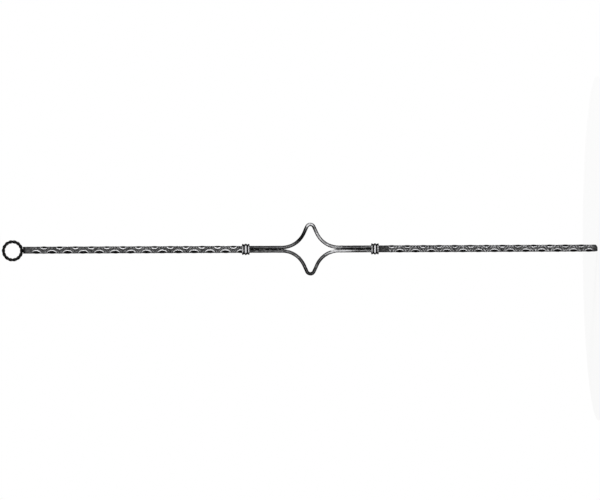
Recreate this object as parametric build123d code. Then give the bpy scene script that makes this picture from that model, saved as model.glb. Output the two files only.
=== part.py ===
from build123d import *
import os
from math import cos, radians, sin, sqrt

# Wrought iron baluster: two hammered square bars, a star of two bent straps between them, and a twisted
# ring on top. It stands along +Z with the bar's middle at the origin, at the foot's lowest point. Ring and
# star lie in the XZ plane.

# Post
post_height = 1000.0  # foot to the seat of the ring
bar_side = 12.0  # square bar, and the pair of straps together
collar_spacing = 225.0  # from the middle of one collar to the middle of the other

# Dents hammered into the bars' four edges
dent_pitch = 27.5
dent_length = 13.5  # along the edge
dent_reach = 4.3  # across each face, from the edge
foot_to_dent = 14.6  # foot to the middle of the first dent
head_to_dent = 22.4  # ring's seat to the middle of the first dent
plain_below_collar = 12.0  # undented end of the lower bar

# Foot, rolled over at one edge and sheared away towards the other
foot_roll_depth = 1.0
foot_roll_length = 6.0
foot_shear_depth = 6.5
foot_shear_rise = 3.6

# Collars with three raised bands
collar_wall = 3.9  # bore to the crest of the middle band
middle_band = 3.8  # along the post, as the next two are
end_band = 2.6
band_groove = 2.0
middle_rise = 1.4  # from the groove's floor
end_rise = 1.1
collar_clearance = 0.1  # each side, to the bar and the straps

# Star of two straps
star_span = 92.0  # point to point, outside
strap_edge_bevel = 1.0
strap_gap = 0.1  # between the straps where they lie side by side
point_radius = 6.7  # to the strap's middle
flank_angle = 65.5  # from the post's axis
flank_length = 12.6  # straight stretch beside each point

# Twisted ring and its seat
ring_mean_diameter = 31.6
ring_bar_side = 4.3
ring_offset = -1.0  # along X, from the bar's middle, as it was welded on
ring_quarter_turns = 14  # of twist, all the way round
steps_per_quarter = 6  # facets along each quarter turn
seat_clearance = 0.1
saddle_depth = 0.7  # how far the bar's end rises round the ring

# Heights along the post, and sizes that follow
post_middle = post_height / 2
lower_joint = post_middle - collar_spacing / 2
upper_joint = post_middle + collar_spacing / 2
half_bar = bar_side / 2
collar_length = middle_band + 2 * (end_band + band_groove)
strap_thickness = (bar_side - strap_gap) / 2
bore_side = bar_side + 2 * collar_clearance
ring_radius = ring_mean_diameter / 2
ring_reach = ring_radius + ring_bar_side / sqrt(2)
seat_radius = ring_reach + seat_clearance
ring_height = post_height + seat_radius

# Cylinder that leaves a dent of the given length and reach on a square edge
dent_depth = dent_reach / sqrt(2)
dent_radius = ((dent_length / 2) ** 2 + dent_depth**2) / (2 * dent_depth)


def dent(edge_angle, height):
    axis_distance = bar_side / sqrt(2) - dent_depth + dent_radius
    across = Rot(90, 0, 0) * Cylinder(dent_radius, bar_side)
    return Rot(0, 0, edge_angle) * Pos(axis_distance, 0, height) * across


def dents(first, last, origin, direction):
    # Opposite edges are struck together, and neighbouring edges half a pitch apart
    cutters = []
    for edge_angle, shift in ((45, 0), (225, 0), (135, dent_pitch / 2), (315, dent_pitch / 2)):
        count = int((last - first - shift) // dent_pitch) + 1
        for n in range(count):
            along = first + shift + n * dent_pitch
            cutters.append(dent(edge_angle, origin + direction * along))
    return cutters


def through_bar(outline):
    # A side view of the bar, made as deep as the bar is
    return extrude(Plane.XZ * make_face(outline), half_bar, both=True)


def lower_bar():
    roll_top = (-half_bar, foot_roll_length)
    roll_end = (-half_bar + foot_roll_depth, 0)
    shear_start = (half_bar - foot_shear_depth, 0)
    shear_end = (half_bar, foot_shear_rise)
    sides = Polyline(shear_end, (half_bar, lower_joint), (-half_bar, lower_joint), roll_top)
    roll = TangentArc(roll_top, roll_end, tangent=(0, -1))
    shear = TangentArc(shear_start, shear_end, tangent=(1, 0))
    bar = through_bar([sides, roll, Line(roll_end, shear_start), shear])
    collar_foot = lower_joint - collar_length / 2
    last = collar_foot - plain_below_collar - dent_length / 2
    return bar - dents(foot_to_dent, last, 0, 1)


def upper_bar():
    head = post_height + saddle_depth
    corners = [(half_bar, head), (half_bar, upper_joint), (-half_bar, upper_joint), (-half_bar, head)]
    bar = through_bar(Polyline(*corners, close=True))
    saddle = Pos(ring_offset, 0, ring_height) * Rot(90, 0, 0) * Cylinder(seat_radius, 2 * bar_side)
    return bar - saddle - dents(head_to_dent, post_height - upper_joint, post_height, -1)


def band(start, width, rise):
    # One half-round band of the collar's side view, bulging out from the groove's floor
    floor = bore_side / 2 + collar_wall - middle_rise
    return SagittaArc((floor, start), (floor, start + width), -rise)


def collar(height):
    # The banded side view is run through both ways, so that the bands are mitred round the four corners
    half_length = collar_length / 2
    low = band(-half_length, end_band, end_rise)
    middle = band(-middle_band / 2, middle_band, middle_rise)
    high = band(half_length - end_band, end_band, end_rise)
    right = [low, Line(low @ 1, middle @ 0), middle, Line(middle @ 1, high @ 0), high]
    left = [mirror(edge, about=Plane.YZ) for edge in right]
    ends = [Line(low @ 0, left[0] @ 0), Line(high @ 1, left[-1] @ 1)]
    outline = Plane.XZ * make_face([*right, *left, *ends])
    through = extrude(outline, bore_side / 2 + collar_wall, both=True)
    bore = Box(bore_side, bore_side, 2 * collar_length)
    return Pos(0, 0, height) * ((through & Rot(0, 0, 90) * through) - bore)


def strap():
    # One strap of the star, bent out on the +X side
    offset = (strap_thickness + strap_gap) / 2
    turn = radians(flank_angle)
    point = star_span / 2 - strap_thickness / 2
    arcs_rise = point - offset - flank_length * sin(turn)
    bend_radius = arcs_rise / (1 - cos(turn)) - point_radius
    half_star = (bend_radius + point_radius) * sin(turn) + flank_length * cos(turn)
    lower_run = Line((offset, lower_joint), (offset, post_middle - half_star))
    lower_bend = JernArc(lower_run @ 1, lower_run % 1, bend_radius, -flank_angle)
    lower_flank = Line(lower_bend @ 1, lower_bend @ 1 + (lower_bend % 1) * flank_length)
    tip = JernArc(lower_flank @ 1, lower_flank % 1, point_radius, 2 * flank_angle)
    upper_flank = Line(tip @ 1, tip @ 1 + (tip % 1) * flank_length)
    upper_bend = JernArc(upper_flank @ 1, upper_flank % 1, bend_radius, -flank_angle)
    upper_run = Line(upper_bend @ 1, (offset, upper_joint))
    path = Plane.XZ * Wire([lower_run, lower_bend, lower_flank, tip, upper_flank, upper_bend, upper_run])
    section = chamfer(Rectangle(strap_thickness, bar_side).vertices(), strap_edge_bevel)
    return sweep(Plane(path @ 0, x_dir=(1, 0, 0), z_dir=path % 0) * section, path=path)


def ring_corners(angle):
    # Corners of the ring's square bar at an angle round the ring, one of them towards the seat at the bottom
    twist = angle * ring_quarter_turns * 90 / 360
    square = Plane.YZ * (Rot(0, 0, 45 + twist) * Rectangle(ring_bar_side, ring_bar_side))
    placed = Pos(ring_offset, 0, ring_height) * Rot(0, angle, 0) * Pos(0, 0, -ring_radius) * square
    return [corner.center() for corner in placed.vertices()]


def twisted_ring():
    # A closed chain of short lengths, each one the hull of two sections turned a little against each other
    steps = ring_quarter_turns * steps_per_quarter
    sections = [ring_corners(360 * n / steps) for n in range(steps)]
    lengths = [ConvexPolyhedron(sections[n - 1] + sections[n]) for n in range(steps)]
    return lengths[0].fuse(*lengths[1:])


right_star_strap = strap()
nodes = {
    "lower_bar": lower_bar(),
    "lower_collar": collar(lower_joint),
    "right_star_strap": right_star_strap,
    "left_star_strap": mirror(right_star_strap, about=Plane.YZ),
    "upper_collar": collar(upper_joint),
    "upper_bar": upper_bar(),
    "head_ring": twisted_ring(),
}

os.makedirs("parts", exist_ok=True)
for name, shape in nodes.items():
    export_step(shape, f"parts/{name}.step")
    print(name, round(shape.volume), "cubic mm", len(shape.faces()), "faces")
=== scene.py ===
import bmesh
import bpy
import math
import random
from mathutils import Matrix, Vector


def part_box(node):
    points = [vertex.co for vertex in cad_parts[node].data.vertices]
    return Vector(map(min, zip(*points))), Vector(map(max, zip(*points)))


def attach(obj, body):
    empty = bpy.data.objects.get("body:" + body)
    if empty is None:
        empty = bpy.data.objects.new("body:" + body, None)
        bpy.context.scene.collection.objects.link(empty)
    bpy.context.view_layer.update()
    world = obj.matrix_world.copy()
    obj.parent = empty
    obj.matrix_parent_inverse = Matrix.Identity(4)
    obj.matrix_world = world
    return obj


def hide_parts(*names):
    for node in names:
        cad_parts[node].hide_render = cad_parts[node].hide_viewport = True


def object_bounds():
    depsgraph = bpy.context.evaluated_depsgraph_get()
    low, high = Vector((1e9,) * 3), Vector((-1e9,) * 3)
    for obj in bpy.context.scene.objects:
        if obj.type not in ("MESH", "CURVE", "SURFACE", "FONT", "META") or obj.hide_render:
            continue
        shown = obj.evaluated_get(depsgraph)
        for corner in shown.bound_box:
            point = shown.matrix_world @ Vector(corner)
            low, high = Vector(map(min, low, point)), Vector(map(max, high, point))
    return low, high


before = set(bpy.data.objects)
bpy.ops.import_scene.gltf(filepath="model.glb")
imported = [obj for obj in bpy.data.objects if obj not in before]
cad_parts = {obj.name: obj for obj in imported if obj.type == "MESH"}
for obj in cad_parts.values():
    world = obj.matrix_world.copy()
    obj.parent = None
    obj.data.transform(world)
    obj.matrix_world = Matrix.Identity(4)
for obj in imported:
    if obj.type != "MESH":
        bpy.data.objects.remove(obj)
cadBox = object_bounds()
mm = 0.001
print("frame loaded:", ", ".join(sorted(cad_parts)))


# small helpers for working as by hand

def clearSelection():
    if bpy.context.object and bpy.context.object.mode != "OBJECT":
        bpy.ops.object.mode_set(mode="OBJECT")
    bpy.ops.object.select_all(action="DESELECT")


def makeActive(piece):
    clearSelection()
    piece.select_set(True)
    bpy.context.view_layer.objects.active = piece


def named(name):
    piece = bpy.context.object
    piece.name = name
    piece.data.name = name
    return piece


def settle(piece):  # place, turn and scale go into the mesh
    makeActive(piece)
    bpy.ops.object.transform_apply(location=True, rotation=True, scale=True)


def edit(piece):
    makeActive(piece)
    bpy.ops.object.mode_set(mode="EDIT")


def pickFaces(piece, test):
    bpy.ops.mesh.select_mode(type="FACE")
    bpy.ops.mesh.select_all(action="DESELECT")
    shape = bmesh.from_edit_mesh(piece.data)
    for face in shape.faces:
        face.select_set(test(face.calc_center_median(), face.normal))
    bmesh.update_edit_mesh(piece.data)


def cutAway(place, normal):  # keeps what lies behind the plane and closes the cut
    bpy.ops.mesh.select_all(action="SELECT")
    bpy.ops.mesh.bisect(plane_co=place, plane_no=normal, use_fill=True, clear_outer=True)


def modify(piece, kind, **settings):
    makeActive(piece)
    modifier = piece.modifiers.new(kind.lower(), kind)
    for setting, value in settings.items():
        setattr(modifier, setting, value)
    bpy.ops.object.modifier_apply(modifier=modifier.name)


def copyTo(pattern, place):  # a copy with its own mesh
    twin = pattern.copy()
    twin.data = pattern.data.copy()
    twin.data.transform(place)
    bpy.context.collection.objects.link(twin)
    return twin


def joinAll(target, extras):
    makeActive(target)
    for extra in extras:
        extra.select_set(True)
    bpy.ops.object.join()


def carve(piece, cutters):
    if len(cutters) > 1:
        joinAll(cutters[0], cutters[1:])
    modify(piece, "BOOLEAN", operation="DIFFERENCE", object=cutters[0], solver="EXACT")
    bpy.data.objects.remove(cutters[0])


def discard(*pieces):
    for piece in pieces:
        bpy.data.objects.remove(piece)


def beat(piece, marks):  # name, size, depth of detail and strength of each set of marks
    for name, size, depth, strength in marks:
        texture = bpy.data.textures.new(name, "CLOUDS")
        texture.noise_scale = size
        texture.noise_depth = depth
        modify(piece, "DISPLACE", texture=texture, texture_coords="LOCAL",
               strength=strength, mid_level=0.5)


def forge(piece, voxel, smoothing, marks):  # one closed skin, softened, then beaten
    modify(piece, "REMESH", mode="VOXEL", voxel_size=voxel)
    modify(piece, "SMOOTH", factor=0.5, iterations=smoothing)
    beat(piece, marks)
    makeActive(piece)
    bpy.ops.object.shade_smooth()


def keepInside(piece):  # no mark stands outside the whole part's box
    low, high = cadBox
    for vertex in piece.data.vertices:
        vertex.co = [min(max(place, least), most) for place, least, most in zip(vertex.co, low, high)]


def finishPiece(piece, node):
    keepInside(piece)
    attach(piece, "root")
    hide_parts(node)
    print(piece.name, "stands for", node, "with", len(piece.data.polygons), "faces")


# hammered bars

hammeredBar = {
    "side": 12 * mm,
    "dentPitch": 27.5 * mm,
    "dentLength": 13.5 * mm,
    "dentReach": 4.3 * mm,
    "footToDent": 14.6 * mm,
    "headToDent": 22.4 * mm,
    "plainBelowCollar": 12 * mm,
    "dentSides": 96,
    "lip": (13.6 * mm, 4.3 * mm, 1.4 * mm, 0.6 * mm),  # length, reach, thickness and rise
    "crease": (18 * mm, 6.8 * mm, 0.8 * mm, 1.1 * mm),  # the same for the tool that leaves it
    "lipEnd": 0.15,  # share of the thickness that is left at its ends
    "lipSwell": 1.5,
    "lipSegments": (40, 8),
    "dentWander": 0.5 * mm,
    "seed": 7,
    "voxel": 0.55 * mm,
    "smoothing": 2,
    "marks": [("hammerMarks", 4 * mm, 2, 0.4 * mm), ("scaleGrain", 1.6 * mm, 1, 0.2 * mm)],
}


def dentPlaces(first, last, origin, direction):
    pitch = hammeredBar["dentPitch"]
    places = []
    rounding = 0.001
    # opposite edges are struck together, and their neighbours half a pitch further
    for edgeAngle, shift in ((45, 0), (225, 0), (135, pitch / 2), (315, pitch / 2)):
        count = int((last - first - shift) / pitch + rounding) + 1
        places += [(edgeAngle, origin + direction * (first + shift + n * pitch)) for n in range(count)]
    return places


def dentCutter():
    bar = hammeredBar
    depth = bar["dentReach"] / math.sqrt(2)
    radius = ((bar["dentLength"] / 2) ** 2 + depth ** 2) / (2 * depth)
    reach = bar["side"] / math.sqrt(2) - depth + radius
    clearSelection()
    bpy.ops.mesh.primitive_cylinder_add(
        vertices=bar["dentSides"], radius=radius, depth=bar["side"],
        location=(reach, 0, 0), rotation=(math.pi / 2, 0, 0))
    cutter = named("dentCutter")
    settle(cutter)
    return cutter


def halfRing(name, length, reach, thickness, rise):  # on the face towards +X, against the edge at +Y
    bar = hammeredBar
    half = bar["side"] / 2
    thin = 0.1
    around, through = bar["lipSegments"]
    clearSelection()
    bpy.ops.mesh.primitive_torus_add(
        major_segments=around, minor_segments=through, major_radius=1, minor_radius=thin,
        rotation=(0, math.pi / 2, 0))
    ring = named(name)
    settle(ring)
    for vertex in ring.data.vertices:  # drawn out along the edge, thickest over the dent's middle
        flat = Vector((0, vertex.co.y, vertex.co.z))
        outward = flat.normalized()
        swell = bar["lipEnd"] + (1 - bar["lipEnd"]) * abs(outward.y) ** bar["lipSwell"]
        tube = (flat.length - 1) / thin * thickness * swell
        vertex.co.x *= thickness * swell / thin
        vertex.co.y = outward.y * (reach + tube)
        vertex.co.z = outward.z * (length / 2 + tube)
    edit(ring)
    cutAway((0, 0, 0), (0, 1, 0))
    bpy.ops.mesh.select_all(action="SELECT")
    bpy.ops.transform.translate(value=(half + rise - thickness, half, 0))
    bpy.ops.object.mode_set(mode="OBJECT")
    return ring


def barBlank(name, node):
    low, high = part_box(node)
    clearSelection()
    bpy.ops.mesh.primitive_cube_add(size=1, location=(low + high) / 2, scale=high - low)
    blank = named(name)
    settle(blank)
    return blank


def hammerDents(blank, places):
    bar = hammeredBar
    wander = random.Random(bar["seed"])
    cutter = dentCutter()
    lip = halfRing("dentLip", *bar["lip"])
    crease = halfRing("dentCrease", *bar["crease"])
    turnOver = Matrix.Rotation(math.pi, 4, "X")
    cutters = []
    lips = []
    creases = []
    for edgeAngle, height in places:
        height += wander.uniform(-1, 1) * bar["dentWander"]
        lift = Matrix.Translation((0, 0, height))
        edge = math.radians(edgeAngle)
        cutters.append(copyTo(cutter, lift @ Matrix.Rotation(edge, 4, "Z")))
        before = Matrix.Rotation(edge - math.pi / 4, 4, "Z")
        after = Matrix.Rotation(edge + math.pi / 4, 4, "Z") @ turnOver
        for face in (before, after):  # the faces that meet at this edge
            lips.append(copyTo(lip, lift @ face))
            creases.append(copyTo(crease, lift @ face))
    carve(blank, creases)
    carve(blank, cutters)
    joinAll(blank, lips)
    discard(cutter, lip, crease)
    forge(blank, bar["voxel"], bar["smoothing"], bar["marks"])


shearedFoot = {
    "rollDepth": 1 * mm,
    "rollLength": 6 * mm,
    "shearDepth": 6.5 * mm,
    "shearRise": 3.6 * mm,
    "cuts": 4,
}


def shearFoot(blank):  # flat cuts along two arcs
    foot = shearedFoot
    half = hammeredBar["side"] / 2
    edit(blank)
    rollRadius = (foot["rollDepth"] ** 2 + foot["rollLength"] ** 2) / (2 * foot["rollDepth"])
    rollTurn = math.asin(foot["rollLength"] / rollRadius)
    shearRadius = (foot["shearDepth"] ** 2 + foot["shearRise"] ** 2) / (2 * foot["shearRise"])
    shearTurn = math.asin(foot["shearDepth"] / shearRadius)
    rollCentre = Vector((rollRadius - half, 0, foot["rollLength"]))
    shearCentre = Vector((half - foot["shearDepth"], 0, shearRadius))
    for n in range(foot["cuts"]):
        turn = rollTurn * (n + 0.5) / foot["cuts"]
        outward = Vector((-math.cos(turn), 0, -math.sin(turn)))
        cutAway(rollCentre + outward * rollRadius, outward)
        turn = shearTurn * (n + 0.5) / foot["cuts"]
        outward = Vector((math.sin(turn), 0, -math.cos(turn)))
        cutAway(shearCentre + outward * shearRadius, outward)
    bpy.ops.object.mode_set(mode="OBJECT")


def lowerDents():
    bar = hammeredBar
    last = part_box("lower_collar")[0].z - bar["plainBelowCollar"] - bar["dentLength"] / 2
    return dentPlaces(bar["footToDent"], last, 0, 1)


def makeLowerBar():
    blank = barBlank("LowerHammeredBar", "lower_bar")
    shearFoot(blank)
    hammerDents(blank, lowerDents())
    finishPiece(blank, "lower_bar")
    return blank


ringSeat = {
    "clearance": 0.1 * mm,
    "saddleSides": 128,
    "beadRadius": 1.6 * mm,
    "beadStretch": 2.2,  # through the bar
    "beadSpread": 4.6 * mm,
    "beadLift": 0.4 * mm,
}


def upperDents():
    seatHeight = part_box("head_ring")[0].z - ringSeat["clearance"]
    return dentPlaces(hammeredBar["headToDent"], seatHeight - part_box("upper_bar")[0].z, seatHeight, -1)


def makeUpperBar():
    bar = hammeredBar
    seat = ringSeat
    blank = barBlank("UpperHammeredBar", "upper_bar")
    ringLow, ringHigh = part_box("head_ring")
    ringRadius = (ringHigh.z - ringLow.z) / 2
    seatHeight = ringLow.z - seat["clearance"]
    clearSelection()
    bpy.ops.mesh.primitive_cylinder_add(
        vertices=seat["saddleSides"], radius=ringRadius + seat["clearance"], depth=2 * bar["side"],
        location=((ringLow.x + ringHigh.x) / 2, 0, ringLow.z + ringRadius), rotation=(math.pi / 2, 0, 0))
    saddle = named("ringSaddle")
    settle(saddle)
    carve(blank, [saddle])
    for side in (-1, 1):  # weld beads at both sides of the saddle
        clearSelection()
        bpy.ops.mesh.primitive_ico_sphere_add(
            subdivisions=3, radius=seat["beadRadius"],
            location=(side * seat["beadSpread"], 0, seatHeight + seat["beadLift"]),
            scale=(1, seat["beadStretch"], 1))
        bead = named("weldBead")
        settle(bead)
        joinAll(blank, [bead])
    hammerDents(blank, upperDents())
    finishPiece(blank, "upper_bar")
    return blank


lowerBar = makeLowerBar()
upperBar = makeUpperBar()

# straps of the star

starStrap = {
    "thickness": 5.95 * mm,
    "pointRadius": 6.7 * mm,
    "flankAngle": math.radians(65.5),
    "flankLength": 12.6 * mm,
    "edgeRound": 1.6 * mm,
    "spinStep": math.radians(4),
    "fewestSteps": 4,
    "voxel": 0.5 * mm,
    "smoothing": 3,
    "marks": [("strapMarks", 6 * mm, 2, 0.5 * mm), ("strapGrain", 1.6 * mm, 1, 0.14 * mm)],
}


def runStraight(step):
    bpy.ops.mesh.extrude_region_move(TRANSFORM_OT_translate={"value": step})


def spinRound(centre, turn):
    steps = max(starStrap["fewestSteps"], round(abs(turn) / starStrap["spinStep"]))
    bpy.ops.mesh.spin(steps=steps, angle=-turn, center=centre, axis=(0, 1, 0))


def strapLine():  # where the middle of the strap's thickness runs
    strap = starStrap
    low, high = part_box("right_star_strap")
    offset = low.x + strap["thickness"] / 2
    point = high.x - strap["thickness"] / 2
    turn = strap["flankAngle"]
    arcsRise = point - offset - strap["flankLength"] * math.sin(turn)
    bendRadius = arcsRise / (1 - math.cos(turn)) - strap["pointRadius"]
    halfStar = (bendRadius + strap["pointRadius"]) * math.sin(turn) + strap["flankLength"] * math.cos(turn)
    return offset, point, bendRadius, halfStar, (low.z + high.z) / 2


def strapPlace(spot, line):  # across the strap and along it, from its point
    strap = starStrap
    offset, point, bendRadius, halfStar, middle = line
    turn = strap["flankAngle"]
    x, up = abs(spot.x), abs(spot.z - middle)
    flankStart = strap["pointRadius"] * turn
    bendStart = flankStart + strap["flankLength"]
    fromPoint = Vector((x - point + strap["pointRadius"], up))
    fromBend = Vector((offset + bendRadius - x, halfStar - up))
    pointTurn = math.atan2(fromPoint.y, fromPoint.x)
    bendTurn = math.atan2(fromBend.y, fromBend.x)
    if fromBend.y <= 0 or x < offset:
        across, along = offset - x, bendStart + bendRadius * turn - fromBend.y
    elif fromPoint.x > 0 and pointTurn < turn:
        across, along = strap["pointRadius"] - fromPoint.length, strap["pointRadius"] * pointTurn
    elif fromBend.x > 0 and bendTurn < turn:
        across, along = fromBend.length - bendRadius, bendStart + bendRadius * (turn - bendTurn)
    else:
        across = strap["pointRadius"] - fromPoint.x * math.cos(turn) - fromPoint.y * math.sin(turn)
        along = flankStart - fromPoint.x * math.sin(turn) + fromPoint.y * math.cos(turn)
    return across, spot.y, math.copysign(along, spot.z - middle)


def makeRightStrap():
    strap = starStrap
    low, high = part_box("right_star_strap")
    offset, point, bendRadius, halfStar, middle = strapLine()
    turn = strap["flankAngle"]
    run = middle - halfStar - low.z
    flank = Vector((math.sin(turn), 0, math.cos(turn))) * strap["flankLength"]
    clearSelection()
    bpy.ops.mesh.primitive_plane_add(size=1, location=(offset, 0, low.z))
    piece = named("RightStarStrap")
    piece.scale = (strap["thickness"], high.y - low.y, 1)
    settle(piece)
    edit(piece)
    bpy.ops.mesh.select_all(action="SELECT")
    runStraight((0, 0, run))
    spinRound((offset + bendRadius, 0, middle - halfStar), turn)
    runStraight(flank)
    spinRound((point - strap["pointRadius"], 0, middle), -2 * turn)
    runStraight((-flank.x, 0, flank.z))
    spinRound((offset + bendRadius, 0, middle + halfStar), turn)
    runStraight((0, 0, run))
    bpy.ops.mesh.select_all(action="SELECT")
    bpy.ops.mesh.remove_doubles(threshold=0.01 * mm)
    bpy.ops.mesh.normals_make_consistent(inside=False)
    bpy.ops.object.mode_set(mode="OBJECT")
    return piece


def forgeStrap(piece, node):
    strap = starStrap
    modify(piece, "BEVEL", width=strap["edgeRound"], segments=4,
           limit_method="ANGLE", angle_limit=math.radians(60))
    forge(piece, strap["voxel"], strap["smoothing"], strap["marks"])
    line = strapLine()
    places = piece.data.attributes.new("strapPlace", "FLOAT_VECTOR", "POINT")
    for vertex, place in zip(piece.data.vertices, places.data):
        place.vector = strapPlace(vertex.co, line)
    finishPiece(piece, node)


rightStrap = makeRightStrap()
leftStrap = copyTo(rightStrap, Matrix.Rotation(math.pi, 4, "Z"))
leftStrap.name = "LeftStarStrap"
forgeStrap(rightStrap, "right_star_strap")
forgeStrap(leftStrap, "left_star_strap")

# collars with three raised bands

bandedCollar = {
    "endBand": 2.6 * mm,
    "endRise": 1.1 * mm,
    "middleBand": 3.8 * mm,
    "middleRise": 1.4 * mm,
    "groove": 2.0 * mm,
    "bore": 12.2 * mm,
    "cornerRound": 1.8 * mm,
    "stepsPerBand": 8,
    "voxel": 0.35 * mm,
    "smoothing": 2,
    "marks": [("collarMarks", 5 * mm, 2, 0.3 * mm)],
}


def makeCollar(name, node):
    collar = bandedCollar
    low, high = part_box(node)
    crest = high.x
    floorHalf = crest - collar["middleRise"]
    clearSelection()
    bpy.ops.mesh.primitive_plane_add(size=2 * floorHalf, location=(0, 0, low.z))
    piece = named(name)
    settle(piece)
    edit(piece)
    bpy.ops.mesh.select_all(action="SELECT")
    bpy.ops.mesh.bevel(offset=collar["cornerRound"], segments=4, affect="VERTICES")
    bpy.ops.mesh.select_all(action="SELECT")
    bands = [(collar["endBand"], collar["endRise"]), (collar["middleBand"], collar["middleRise"]),
             (collar["endBand"], collar["endRise"])]
    halfWidth = floorHalf
    for n, (width, rise) in enumerate(bands):
        if n > 0:
            runStraight((0, 0, collar["groove"]))
        radius = (width ** 2 / 4 + rise ** 2) / (2 * rise)
        for step in range(1, collar["stepsPerBand"] + 1):
            across = width * (step / collar["stepsPerBand"] - 0.5)
            newHalf = floorHalf + rise - radius + math.sqrt(radius ** 2 - across ** 2)
            grow = newHalf / halfWidth
            runStraight((0, 0, width / collar["stepsPerBand"]))
            bpy.ops.transform.resize(value=(grow, grow, 1), center_override=(0, 0, 0))
            halfWidth = newHalf
    bpy.ops.mesh.select_all(action="SELECT")
    bpy.ops.mesh.normals_make_consistent(inside=False)
    bpy.ops.object.mode_set(mode="OBJECT")
    clearSelection()
    bpy.ops.mesh.primitive_cube_add(
        size=1, location=(low + high) / 2, scale=(collar["bore"], collar["bore"], 2 * (high.z - low.z)))
    bore = named("collarBore")
    settle(bore)
    carve(piece, [bore])
    forge(piece, collar["voxel"], collar["smoothing"], collar["marks"])
    finishPiece(piece, node)
    return piece


lowerCollar = makeCollar("LowerBandedCollar", "lower_collar")
upperCollar = makeCollar("UpperBandedCollar", "upper_collar")

# twisted ring

twistedRing = {
    "meanRadius": 15.8 * mm,
    "barSide": 4.3 * mm,
    "quarterTurns": 14,
    "stepsPerQuarter": 12,
    "edgeRound": 0.12 * mm,
    "endFacing": 0.9,  # least share of an end face's normal along the bar
    "marks": [("ringMarks", 2.5 * mm, 1, 0.25 * mm)],
}


def makeRing():
    ring = twistedRing
    low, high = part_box("head_ring")
    length = 2 * math.pi * ring["meanRadius"]
    steps = ring["quarterTurns"] * ring["stepsPerQuarter"]
    clearSelection()
    bpy.ops.mesh.primitive_plane_add(
        size=ring["barSide"], location=(-length / 2, 0, 0), rotation=(0, math.pi / 2, 0))
    piece = named("TwistedHeadRing")
    settle(piece)
    edit(piece)
    bpy.ops.mesh.select_all(action="SELECT")
    bpy.ops.mesh.bevel(offset=ring["edgeRound"], segments=2, affect="VERTICES")
    bpy.ops.mesh.select_all(action="SELECT")
    bpy.ops.transform.rotate(value=math.pi / 4, orient_axis="X", center_override=(-length / 2, 0, 0))
    for step in range(steps):
        runStraight((length / steps, 0, 0))
    pickFaces(piece, lambda centre, normal: abs(normal.x) > ring["endFacing"])
    bpy.ops.mesh.delete(type="FACE")
    bpy.ops.object.mode_set(mode="OBJECT")
    modify(piece, "SIMPLE_DEFORM", deform_method="TWIST", deform_axis="X",
           angle=ring["quarterTurns"] * math.pi / 2)
    modify(piece, "SIMPLE_DEFORM", deform_method="BEND", deform_axis="Z", angle=2 * math.pi)
    piece.rotation_euler = (math.pi / 2, 0, 0)
    piece.location = ((low.x + high.x) / 2, 0, (low.z + high.z) / 2 - ring["meanRadius"])
    settle(piece)
    edit(piece)
    bpy.ops.mesh.select_all(action="SELECT")
    bpy.ops.mesh.remove_doubles(threshold=0.05 * mm)
    bpy.ops.mesh.normals_make_consistent(inside=False)
    bpy.ops.object.mode_set(mode="OBJECT")
    modify(piece, "SUBSURF", subdivision_type="SIMPLE", levels=1, render_levels=1)
    beat(piece, ring["marks"])
    makeActive(piece)
    bpy.ops.object.shade_smooth_by_angle(angle=math.radians(40))
    finishPiece(piece, "head_ring")
    return piece


headRing = makeRing()

# finishes

def addNode(tree, kind, **settings):
    node = tree.nodes.new(kind)
    for setting, value in settings.items():
        setattr(node, setting, value)
    return node


class Wire:  # a socket's value, to be reckoned with like a number
    def __init__(self, tree, socket):
        self.tree = tree
        self.socket = socket

    def into(self, socket):
        self.tree.links.new(self.socket, socket)

    def work(self, operation, *values):
        node = addNode(self.tree, "ShaderNodeMath", operation=operation)
        self.into(node.inputs[0])
        for socket, value in zip(node.inputs[1:], values):
            if isinstance(value, Wire):
                value.into(socket)
            else:
                socket.default_value = value
        return Wire(self.tree, node.outputs[0])

    def __add__(self, other):
        return self.work("ADD", other)

    def __sub__(self, other):
        return self.work("SUBTRACT", other)

    def __mul__(self, other):
        return self.work("MULTIPLY", other)

    def __truediv__(self, other):
        return self.work("DIVIDE", other)

    def __abs__(self):
        return self.work("ABSOLUTE")

    def larger(self, other):
        return self.work("MAXIMUM", other)

    def smaller(self, other):
        return self.work("MINIMUM", other)

    def above(self, limit):
        return self.work("GREATER_THAN", limit)

    def fade(self, start, end, low, high):  # soft step from low at start to high at end
        node = addNode(self.tree, "ShaderNodeMapRange", interpolation_type="SMOOTHSTEP")
        self.into(node.inputs["Value"])
        for socket, setting in zip(node.inputs[1:5], (start, end, low, high)):
            socket.default_value = setting
        return Wire(self.tree, node.outputs[0])

    def bell(self, middle, width):  # one at the middle, falling away on both sides
        off = (self - middle) / width
        return (off * off * -1).work("EXPONENT")

    def wave(self, step):
        return (self * (2 * math.pi / step)).work("COSINE")


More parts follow.
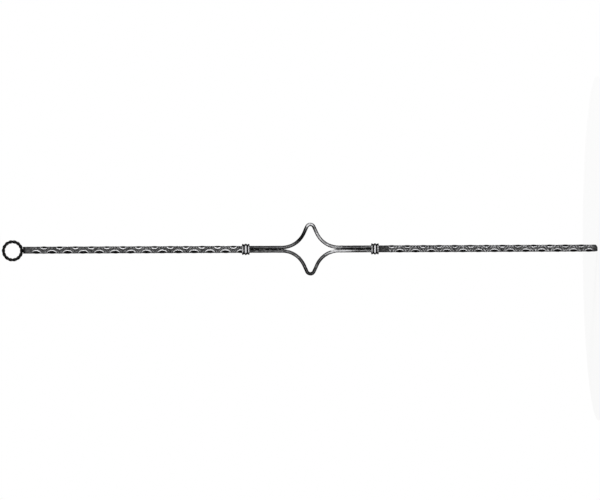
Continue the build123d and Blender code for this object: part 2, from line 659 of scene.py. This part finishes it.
class Iron:  # a new material with the places that its finish is painted by
    def __init__(self, name):
        self.material = bpy.data.materials.new(name)
        self.material.use_nodes = True
        self.tree = self.material.node_tree
        self.shader = self.tree.nodes["Principled BSDF"]
        self.coords = addNode(self.tree, "ShaderNodeTexCoord").outputs["Object"]
        split = addNode(self.tree, "ShaderNodeSeparateXYZ")
        self.tree.links.new(self.coords, split.inputs[0])
        self.x, self.y, self.z = [Wire(self.tree, socket) for socket in split.outputs]

    def cloud(self, size, detail, coords=None):  # noise about zero, with blotches of this size
        node = addNode(self.tree, "ShaderNodeTexNoise")
        node.inputs["Scale"].default_value = 1 / size
        node.inputs["Detail"].default_value = detail
        self.tree.links.new(coords or self.coords, node.inputs["Vector"])
        return Wire(self.tree, node.outputs["Fac"]) - 0.5

    def mottled(self, level, look):
        for size, detail, strength in look["mottle"]:
            level = self.cloud(size, detail) * strength + level
        return level

    def near(self, across, up):  # distance in the plane of star and ring
        flat = addNode(self.tree, "ShaderNodeCombineXYZ")
        self.x.into(flat.inputs["X"])
        self.z.into(flat.inputs["Z"])
        away = addNode(self.tree, "ShaderNodeVectorMath", operation="DISTANCE")
        self.tree.links.new(flat.outputs[0], away.inputs[0])
        away.inputs[1].default_value = (across, 0, up)
        return Wire(self.tree, away.outputs["Value"])

    def shade(self, level, look):  # tones from dark to bright, for the iron's own tone with its painted shade and painted highlights, and a fine scale over all
        ramp = addNode(self.tree, "ShaderNodeValToRGB")
        stops = ramp.color_ramp.elements
        while len(stops) < len(look["tones"]):
            stops.new(0.5)
        for stop, (place, tone) in zip(stops, look["tones"]):
            stop.position = place
            stop.color = (tone, tone, tone * look["cool"], 1)
        level.into(ramp.inputs[0])
        self.tree.links.new(ramp.outputs[0], self.shader.inputs["Base Color"])
        level.fade(0, 1, *look["roughness"]).into(self.shader.inputs["Roughness"])
        self.shader.inputs["Metallic"].default_value = look["metallic"]
        self.shader.inputs["Specular IOR Level"].default_value = look["specular"]
        size, detail, strength, depth = look["grain"]
        bump = addNode(self.tree, "ShaderNodeBump")
        bump.inputs["Strength"].default_value = strength
        bump.inputs["Distance"].default_value = depth
        self.cloud(size, detail).into(bump.inputs["Height"])
        self.tree.links.new(bump.outputs[0], self.shader.inputs["Normal"])
        return self.material


forgedIron = {
    "tones": [  # level and brightness
        (0.0, 0.003), (0.2, 0.008), (0.38, 0.04), (0.5, 0.085),
        (0.62, 0.16), (0.78, 0.42), (0.95, 0.8)],
    "cool": 1.02,
    "plain": 0.5,  # level of a plain face, before its marks
    "mottle": [(2.8 * mm, 4, 0.7), (22 * mm, 2, 0.15)],  # size, detail and strength of blotches
    "roughness": (0.65, 0.4),
    "metallic": 0.05,
    "specular": 0.05,
    "grain": (1.1 * mm, 3, 0.4, 0.12 * mm),  # size, detail, strength and depth of the scale
}

lowerBarLook = dict(
    forgedIron,
    plain=0.52,
    mottle=[(2.8 * mm, 4, 0.85), (22 * mm, 2, 0.15)],
    dents=[height for edgeAngle, height in lowerDents()],
    dentStart=hammeredBar["footToDent"],
    relief=3 * mm,  # depth that takes the level down by one, darker in the dents and lighter on the raised lips: partly patina and rubbed metal, partly painted shade and painted highlight
    reliefFloor=-0.3,
    edge=(4.7 * mm, 5.9 * mm, -0.3),  # from and to, towards the corners, and change: painted shade on the rounded corners
    rubbedAndLitCrescent=(0.52, 0.38),  # strength, then that at front and back edges towards +X, the side the light comes from; rubbed metal with a painted highlight
    crescentAt=(1.12, 0.84),  # the same for its place, one at the dent's outline; it sits nearer the edge on the side the light comes from
    crescentWide=0.15,
    crescentEnds=0.6,  # power by which it fades towards its ends
    patinaAndShade=(-0.16, 0.02, -0.62),  # from and to, about the crescent's middle, and change: dark patina in the dent deepened with painted shade
    ripple=0.25,
    rippleFrom=(0.05, 0.25),  # beyond the crescent
    rippleTo=(0.95, 1.4),  # inwards from the edge, where they fade
    rippleStep=0.6,
    uneven=[(6 * mm, 2, 0.3), (3.2 * mm, 2, 0.9)],  # size, detail, strength: crescents, ripples
    ends=8 * mm,  # from the first and last dents to the plain bar
    darkerAt=[(0 * mm, 9 * mm, -0.2), (374 * mm, 14 * mm, -0.12)],  # darker about these heights: height, reach, change
    darkerCore=0.4,  # share of the reach that is darkest
)
upperBarLook = dict(
    lowerBarLook,
    plain=0.48,
    mottle=forgedIron["mottle"],
    dents=[height for edgeAngle, height in upperDents()],
    dentStart=upperDents()[0][1],
    # the upper bar's crescents: rubbed metal with a stronger painted highlight
    rubbedAndLitCrescent=(0.9, 0.72),
    crescentAt=(1.22, 0.84),
    crescentWide=0.2,
    crescentEnds=0.8,
    ripple=0.18,
    darkerAt=[(1002 * mm, 7 * mm, -0.5)])


def barFinish(name, look):
    iron = Iron(name)
    bar = hammeredBar
    wide, deep = abs(iron.x), abs(iron.y)
    face = wide.larger(deep) - bar["side"] / 2
    start, end, change = look["edge"]
    # lower in the dents and higher on the lips: partly patina and rubbed metal, partly painted shade and
    # painted highlight
    level = (face / look["relief"]).larger(look["reliefFloor"])
    # darker towards the corners: painted shade
    level = level + wide.smaller(deep).fade(start, end, 0, change) + look["plain"]
    # distance from the nearest dent, one at its outline
    struck = (iron.x * iron.y).above(0) * (bar["dentPitch"] / 2)
    fromDent = iron.z + struck - (look["dentStart"] + bar["dentPitch"] / 2)
    along = fromDent.work("WRAP", bar["dentPitch"] / 2, -bar["dentPitch"] / 2) / (bar["dentLength"] / 2)
    inward = (wide.smaller(deep) * -1 + bar["side"] / 2) / bar["dentReach"]
    away = (along * along + inward * inward).work("SQRT")
    # dark patina in the dent deepened with painted shade, a crescent of rubbed metal with a painted
    # highlight round its middle, and fainter ripples beyond
    # edges towards +X, the side the light comes from, by which the painted highlight is weighted and
    # placed
    right = iron.x.above(0) * deep.above(wide)
    (wanderSize, wanderDetail, wander), (twistSize, twistDetail, twist) = look["uneven"]
    beyond = away - right.fade(0, 1, *look["crescentAt"]) + iron.cloud(wanderSize, wanderDetail) * wander
    # dark patina in the dent, deepened with painted shade
    marks = beyond.fade(*look["patinaAndShade"], 0)
    overMiddle = (inward / away).work("POWER", look["crescentEnds"])
    rubbedAndLitCrescent = beyond.bell(0, look["crescentWide"]) * overMiddle
    marks = marks + rubbedAndLitCrescent * right.fade(0, 1, *look["rubbedAndLitCrescent"])
    twisted = beyond + iron.cloud(twistSize, twistDetail) * twist
    ripple = twisted.wave(look["rippleStep"]) * beyond.fade(*look["rippleFrom"], 0, look["ripple"])
    marks = marks + ripple * inward.fade(*look["rippleTo"], 1, 0)
    lowest, highest, ends = min(look["dents"]), max(look["dents"]), look["ends"]
    marks = marks * iron.z.fade(lowest - ends, lowest - ends / 2, 0, 1)
    level = level + marks * iron.z.fade(highest + ends / 2, highest + ends, 1, 0)
    level = iron.mottled(level, look)
    # darker about the given heights
    for height, reach, change in look["darkerAt"]:
        level = level + abs(iron.z - height).fade(reach * look["darkerCore"], reach, change, 0)
    return iron.shade(level, look)


strapLook = dict(
    forgedIron,
    edge=(1 * mm, 2.1 * mm, -0.6),  # from and to, across the strap, and change: painted shade along its rounded sides
    edgeDeep=(3.2 * mm, 4.6 * mm),  # from and to, through the strap
    frontSpots=(-4 * mm, 4 * mm, 0.3),  # from and to, through the strap, and share left at the back
    spotCore=0.3,  # share of a spot's radius that is strongest
    streak=(0.9 * mm, 12 * mm, 2, 1.1),  # width, length, detail and strength
    mottle=[(3.6 * mm, 3, 0.45), (22 * mm, 2, 0.15)])
rightStrapLook = dict(
    strapLook, litAndShadedSpots=[  # painted highlights and painted shade: across, up, radius, change
        (45 * mm, 501 * mm, 12 * mm, 0.4),
        (20 * mm, 474 * mm, 28 * mm, 0.36),
        (22 * mm, 520 * mm, 18 * mm, -0.34),
        (3 * mm, 450 * mm, 18 * mm, 0.16),
        (3 * mm, 585 * mm, 40 * mm, -0.06),
    ])
leftStrapLook = dict(
    # painted highlights and painted shade: across, up, radius, change
    strapLook, litAndShadedSpots=[
        (-5 * mm, 450 * mm, 30 * mm, 0.36),
        (-5 * mm, 415 * mm, 36 * mm, 0.12),
        (-20 * mm, 468 * mm, 20 * mm, 0.22),
        (-44 * mm, 500 * mm, 20 * mm, -0.2),
    ])


def strapFinish(name, look):
    iron = Iron(name)
    place = addNode(iron.tree, "ShaderNodeAttribute", attribute_name="strapPlace").outputs["Vector"]
    split = addNode(iron.tree, "ShaderNodeSeparateXYZ")
    iron.tree.links.new(place, split.inputs[0])
    # darker along the strap's sides near its faces: painted shade
    start, end, change = look["edge"]
    edge = abs(Wire(iron.tree, split.outputs["X"])).fade(start, end, 0, change)
    level = edge * abs(iron.y).fade(*look["edgeDeep"], 0, 1) + look["plain"]
    width, length, detail, strength = look["streak"]
    drawn = addNode(iron.tree, "ShaderNodeVectorMath", operation="MULTIPLY")
    drawn.inputs[1].default_value = (1, 1, width / length)
    iron.tree.links.new(place, drawn.inputs[0])
    level = level + iron.cloud(width, detail, drawn.outputs[0]) * strength
    level = iron.mottled(level, look)
    # spots of painted highlight and painted shade, fainter at the back
    start, end, share = look["frontSpots"]
    front = iron.y.fade(start, end, 1, share)
    for across, up, radius, change in look["litAndShadedSpots"]:
        spot = iron.near(across, up).fade(radius * look["spotCore"], radius, change, 0)
        level = level + spot * front
    return iron.shade(level, look)


# bands lighter towards their crests, darker in the grooves and at the corners: painted highlight and
# painted shade
collarLook = dict(
    forgedIron,
    tones=[(0.0, 0.004), (0.3, 0.016), (0.6, 0.16), (0.95, 0.75)],
    floor=8.55 * mm,  # half width at the grooves
    rise=1.2 * mm,
    corner=(4 * mm, 8.5 * mm, -0.8),
    mottle=[(2 * mm, 4, 0.6), (7 * mm, 2, 0.4)])


def collarFinish(name, look):
    iron = Iron(name)
    wide, deep = abs(iron.x), abs(iron.y)
    # lighter towards the band crests, darker in the grooves and at the corners: painted highlight and
    # painted shade
    level = (wide.larger(deep) - look["floor"]) / look["rise"]
    start, end, change = look["corner"]
    level = level + wide.smaller(deep).fade(start, end, 0, change)
    return iron.shade(iron.mottled(level, look), look)


# tones held near black, darker than the other iron: painted shade
ringLook = dict(
    forgedIron,
    tones=[(0.0, 0.003), (0.58, 0.005), (0.74, 0.025), (0.95, 0.16)],
    mottle=[(2.4 * mm, 3, 0.9), (15 * mm, 2, 0.2)])


def ringFinish(name, look):
    iron = Iron(name)
    return iron.shade(iron.mottled(look["plain"], look), look)


def dress(material, *pieces):
    for piece in pieces:
        piece.data.materials.clear()
        piece.data.materials.append(material)


dress(barFinish("LowerBarIron", lowerBarLook), lowerBar)
dress(barFinish("UpperBarIron", upperBarLook), upperBar)
dress(strapFinish("RightStrapIron", rightStrapLook), rightStrap)
dress(strapFinish("LeftStrapIron", leftStrapLook), leftStrap)
dress(collarFinish("CollarIron", collarLook), lowerCollar, upperCollar)
dress(ringFinish("RingIron", ringLook), headRing)
print("finishes applied")

# floor, light and background

studio = {
    "floorRadius": 0.3,
    "floorSides": 128,
    "floorTone": 0.9,
    "floorRoughness": 0.9,
    "floorWhite": 0.86,  # share of plain white that the eye sees in it
    "fill": 0.14,
    "boxLength": 1.6,
    "boxWidth": 0.5,
    "boxDistance": 1.6,
    "boxes": [(55, 40), (130, 20), (225, 20)],  # degrees from the front towards +X, and watts
}


def seenByEye(tree):  # one for camera, glossy and transmission rays
    path = addNode(tree, "ShaderNodeLightPath").outputs
    seen = [Wire(tree, path[kind]) for kind in ("Is Camera Ray", "Is Glossy Ray", "Is Transmission Ray")]
    return seen[0].larger(seen[1]).larger(seen[2])


def lightStudio():
    world = bpy.data.worlds.new("StudioWorld")
    bpy.context.scene.world = world
    world.use_nodes = True
    tree = world.node_tree
    background = tree.nodes["Background"]
    background.inputs["Color"].default_value = (1, 1, 1, 1)
    seenByEye(tree).fade(0, 1, studio["fill"], 1).into(background.inputs["Strength"])
    middle = (cadBox[0] + cadBox[1]) / 2
    up = Vector((0, 0, 1))
    for angle, power in studio["boxes"]:
        lamp = bpy.data.lights.new("LongSoftbox", "AREA")
        lamp.shape = "RECTANGLE"
        lamp.size = studio["boxWidth"]
        lamp.size_y = studio["boxLength"]
        lamp.energy = power
        box = bpy.data.objects.new("LongSoftbox", lamp)
        bpy.context.collection.objects.link(box)
        back = Vector((math.sin(math.radians(angle)), -math.cos(math.radians(angle)), 0))
        turn = Matrix((up.cross(back), up, back)).transposed().to_4x4()
        box.matrix_world = Matrix.Translation(middle + back * studio["boxDistance"]) @ turn


def layFloor():
    clearSelection()
    bpy.ops.mesh.primitive_circle_add(
        vertices=studio["floorSides"], radius=studio["floorRadius"], fill_type="NGON")
    floor = named("PaleFloor")
    material = bpy.data.materials.new("PaleFloor")
    material.use_nodes = True
    tree = material.node_tree
    tone = studio["floorTone"]
    shader = tree.nodes["Principled BSDF"]
    shader.inputs["Base Color"].default_value = (tone, tone, tone, 1)
    shader.inputs["Roughness"].default_value = studio["floorRoughness"]
    shader.inputs["Specular IOR Level"].default_value = 0
    white = addNode(tree, "ShaderNodeEmission")
    mix = addNode(tree, "ShaderNodeMixShader")
    (seenByEye(tree) * studio["floorWhite"]).into(mix.inputs[0])
    tree.links.new(shader.outputs[0], mix.inputs[1])
    tree.links.new(white.outputs[0], mix.inputs[2])
    tree.links.new(mix.outputs[0], tree.nodes["Material Output"].inputs["Surface"])
    floor.data.materials.append(material)


lightStudio()
layFloor()
bpy.context.scene.view_settings.view_transform = "Standard"
print("studio lit")

# camera, looking along +Y at the post lying across the picture with its foot to the right

photoCamera = {
    "imageWidth": 600,
    "imageHeight": 500,
    "lens": 200,
    "sensor": 36,
    "clipEnd": 50,
    "metresPerPixel": 1.7425 * mm,
    "footColumn": 597.3,
    "axisRow": 249.12,
    "tilt": 0.00382,
}


def placeCamera():
    setup = photoCamera
    span = setup["imageWidth"] * setup["metresPerPixel"]
    distance = span * setup["lens"] / setup["sensor"]
    height = (setup["footColumn"] - setup["imageWidth"] / 2) * setup["metresPerPixel"]
    drop = (setup["imageHeight"] / 2 - setup["axisRow"]) * setup["metresPerPixel"]
    lens = bpy.data.cameras.new("PhotoCamera")
    lens.lens = setup["lens"]
    lens.sensor_width = setup["sensor"]
    lens.clip_end = setup["clipEnd"]
    camera = bpy.data.objects.new("PhotoCamera", lens)
    bpy.context.collection.objects.link(camera)
    c, s = math.cos(setup["tilt"]), math.sin(setup["tilt"])
    right = Vector((-s, 0, -c))
    up = Vector((c, 0, -s))
    back = Vector((0, -1, 0))
    turn = Matrix((right, up, back)).transposed().to_4x4()
    camera.matrix_world = Matrix.Translation((-drop, -distance, height)) @ turn
    bpy.context.scene.camera = camera


placeCamera()
print("camera placed")
